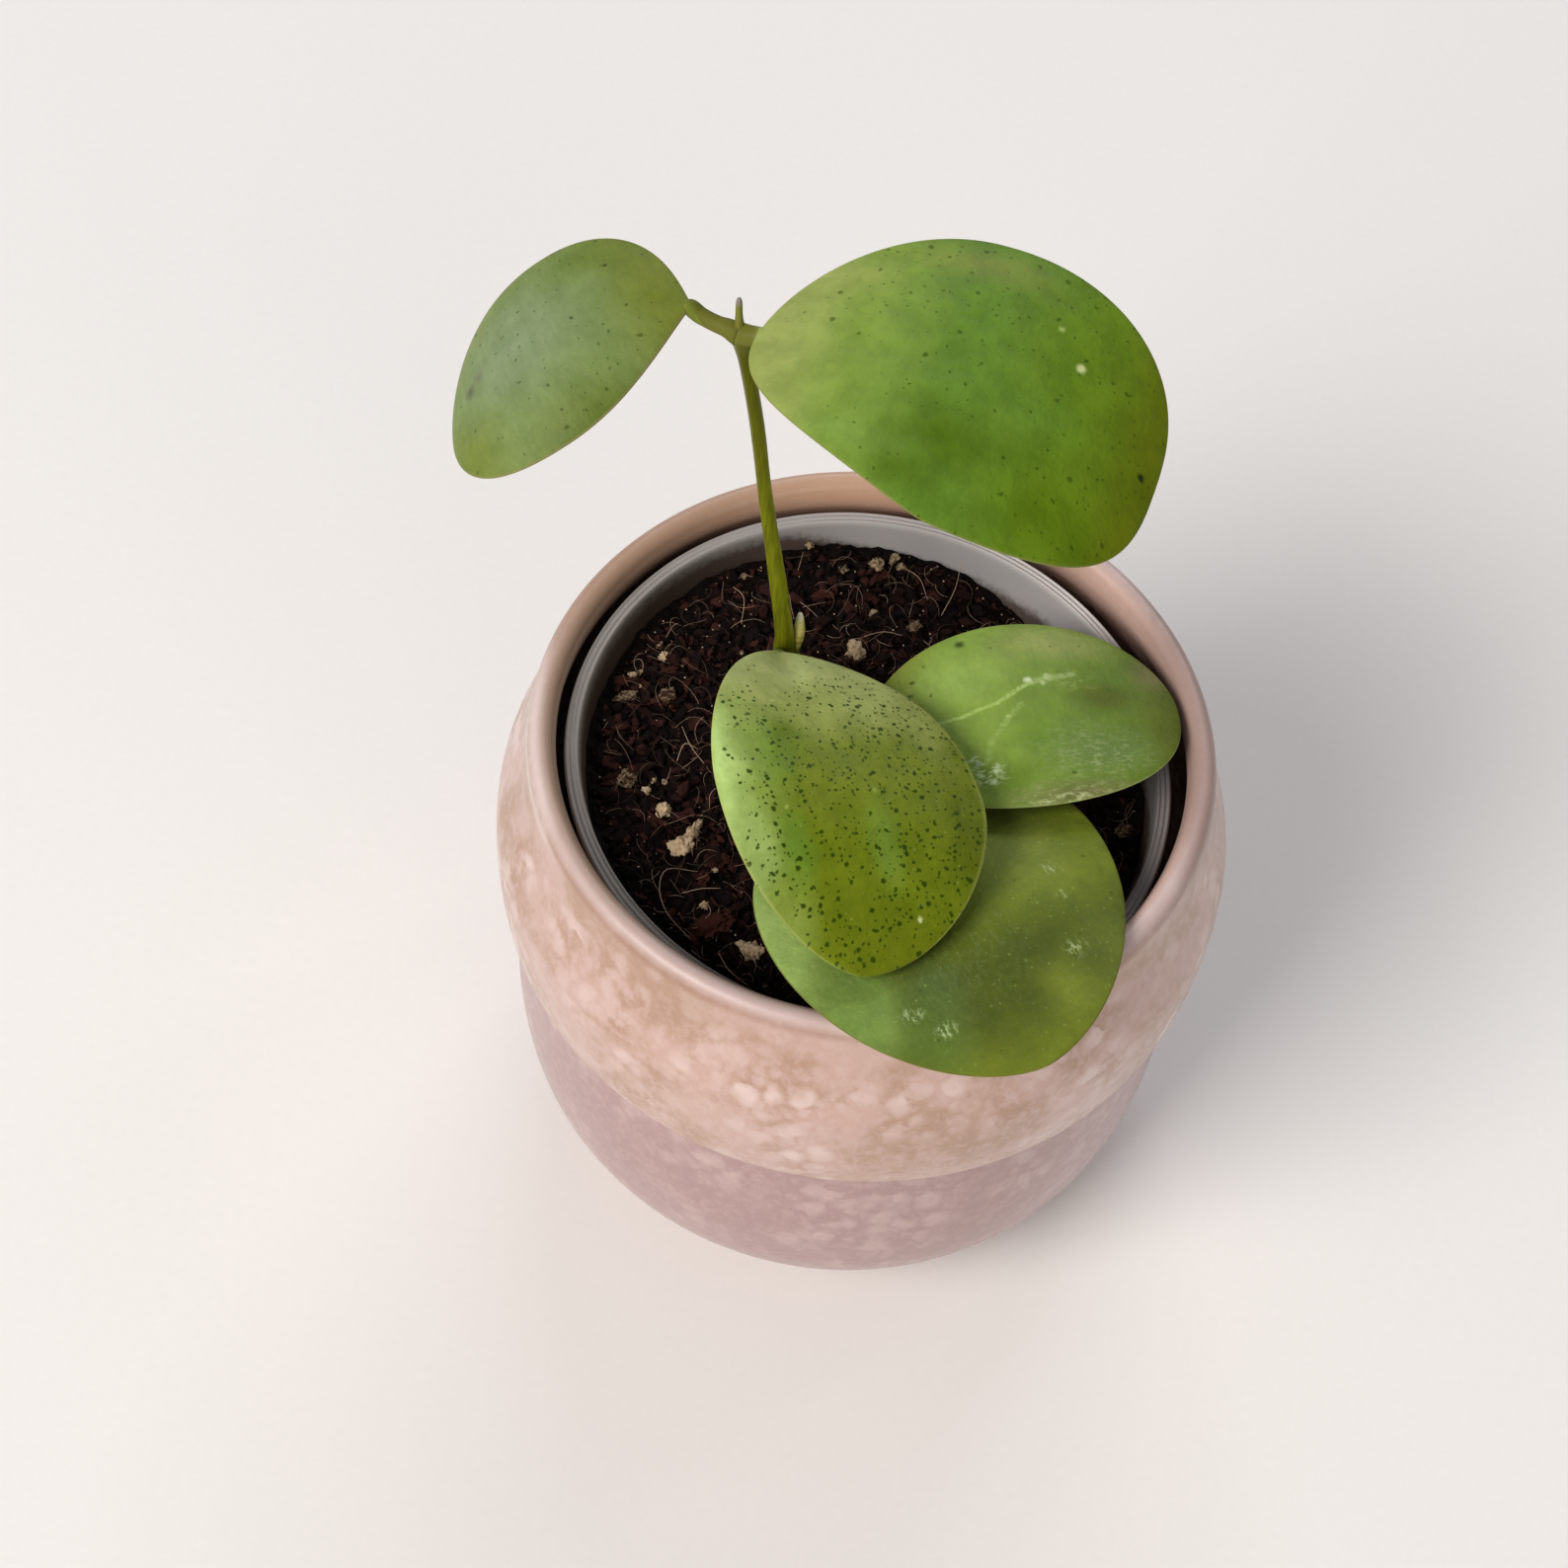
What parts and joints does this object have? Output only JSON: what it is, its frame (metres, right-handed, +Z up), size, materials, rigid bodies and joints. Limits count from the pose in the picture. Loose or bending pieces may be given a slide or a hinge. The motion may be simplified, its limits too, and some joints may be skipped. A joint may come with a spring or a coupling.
{
  "type": "potted hoya plant",
  "caption": "Young hoya vine with thick oval leaves in a plastic nursery pot, standing inside a round glazed ceramic cachepot.",
  "frame": {"origin": "middle of the cachepot's flat base, on the surface it stands on", "axes": "+Z up along the cachepot's axis; +Y away from the camera of the picture; +X to its right"},
  "size_m": [0.1157, 0.1127, 0.1656],
  "materials": {
    "glazed_stoneware": "glossy pink and peach reactive glaze with pale blotches",
    "grey_polypropylene": "translucent grey moulded plastic",
    "potting_mix": "coarse coir and bark with perlite",
    "vine_stem": "smooth green stem, browner at the top",
    "bud_skin": "pale yellow green bud",
    "leaf_greyed": "waxy grey green leaf with a bluish sheen",
    "leaf_mid_green": "waxy mid green leaf with few dark dots",
    "leaf_speckled_green": "waxy light green leaf, densely dotted dark green",
    "leaf_scuffed_green": "waxy leaf with pale scratches and silvery scuffs",
    "leaf_matte_green": "matte green leaf with a thin brown edge"
  },
  "bodies": {
    "root": {"cachepot": "glazed_stoneware", "nursery_pot": "grey_polypropylene", "soil": "potting_mix", "stem": "vine_stem", "axillary_bud": "bud_skin", "leaf_upper_left": "leaf_greyed", "leaf_upper_right": "leaf_mid_green", "leaf_speckled": "leaf_speckled_green", "leaf_right": "leaf_scuffed_green", "leaf_lower": "leaf_matte_green"}
  },
  "joints": []
}
